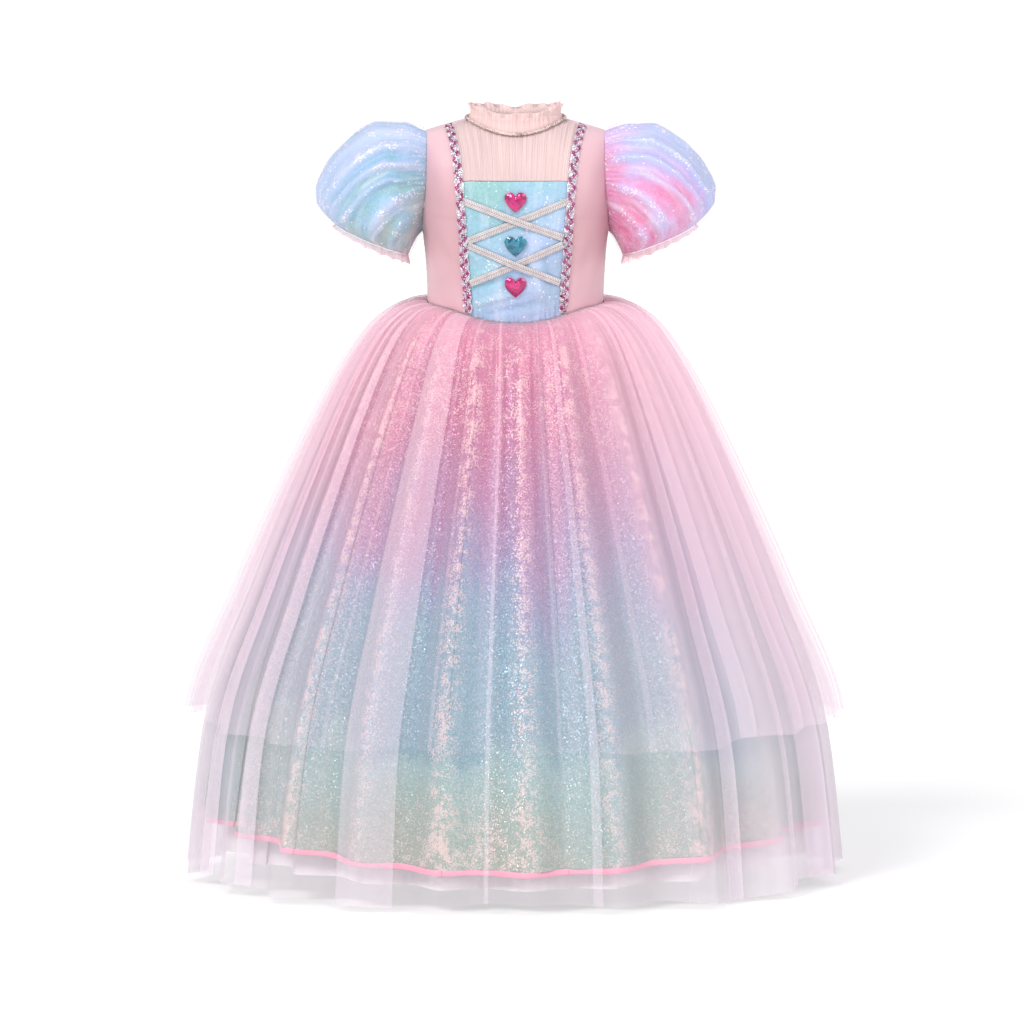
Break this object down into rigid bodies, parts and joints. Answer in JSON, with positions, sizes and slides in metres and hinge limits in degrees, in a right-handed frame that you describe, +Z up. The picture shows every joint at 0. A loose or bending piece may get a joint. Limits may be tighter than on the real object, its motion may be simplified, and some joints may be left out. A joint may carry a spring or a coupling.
{
  "type": "princess costume dress",
  "caption": "Child's costume dress with a gathered stand collar, laced front panel with heart gems, puff sleeves and a full layered tulle skirt, filled out as if worn.",
  "frame": {"origin": "midway between the two shoulder points, where the dress hangs from the wearer's shoulders", "axes": "+Z up from hem to collar, the front faces -Y, +X towards the right of someone facing the front"},
  "size_m": [0.8398, 0.764, 0.9779],
  "materials": {
    "pink_satin": "satin",
    "iridescent_cloth": "iridescent film cloth",
    "peach_mesh": "sheer gathered mesh",
    "pink_tulle": "sheer tulle",
    "sequin_cloth": "glittering gradient cloth",
    "lining": "matte lining",
    "binding": "satin binding",
    "cuff_frill": "gathered frill",
    "lacing": "knitted braid",
    "sequin_braid": "sequins and beads",
    "silver_cord": "twisted cord",
    "magenta_gem": "faceted",
    "teal_gem": "faceted"
  },
  "bodies": {
    "root": {"front_panel": "iridescent_cloth", "yoke": "peach_mesh", "front_side_left": "pink_satin", "front_side_right": "pink_satin", "back_left": "pink_satin", "back_right": "pink_satin", "back_placket": "pink_satin", "collar": "peach_mesh", "neck_braid": "silver_cord", "trim_left": "sequin_braid", "trim_right": "sequin_braid", "strap_upper_under": "lacing", "strap_upper_over": "lacing", "strap_lower_under": "lacing", "strap_lower_over": "lacing", "heart_top": "magenta_gem", "heart_middle": "teal_gem", "heart_bottom": "magenta_gem", "sleeve_left_top": "iridescent_cloth", "sleeve_left_front": "iridescent_cloth", "sleeve_left_under": "iridescent_cloth", "sleeve_left_back": "iridescent_cloth", "sleeve_right_top": "iridescent_cloth", "sleeve_right_front": "iridescent_cloth", "sleeve_right_under": "iridescent_cloth", "sleeve_right_back": "iridescent_cloth", "sleeve_tulle_left": "pink_tulle", "sleeve_tulle_right": "pink_tulle", "cuff_left": "cuff_frill", "cuff_right": "cuff_frill", "skirt_tier_front": "pink_tulle", "skirt_tier_front_right": "pink_tulle", "skirt_tier_back_right": "pink_tulle", "skirt_tier_back": "pink_tulle", "skirt_tier_back_left": "pink_tulle", "skirt_tier_front_left": "pink_tulle", "skirt_tulle_front": "pink_tulle", "skirt_tulle_front_right": "pink_tulle", "skirt_tulle_back_right": "pink_tulle", "skirt_tulle_back": "pink_tulle", "skirt_tulle_back_left": "pink_tulle", "skirt_tulle_front_left": "pink_tulle", "skirt_sequin_front": "sequin_cloth", "skirt_sequin_front_right": "sequin_cloth", "skirt_sequin_back_right": "sequin_cloth", "skirt_sequin_back": "sequin_cloth", "skirt_sequin_back_left": "sequin_cloth", "skirt_sequin_front_left": "sequin_cloth", "hem_binding_front": "binding", "hem_binding_back": "binding", "skirt_lining_front": "lining", "skirt_lining_front_right": "lining", "skirt_lining_back_right": "lining", "skirt_lining_back": "lining", "skirt_lining_back_left": "lining", "skirt_lining_front_left": "lining"}
  },
  "joints": []
}
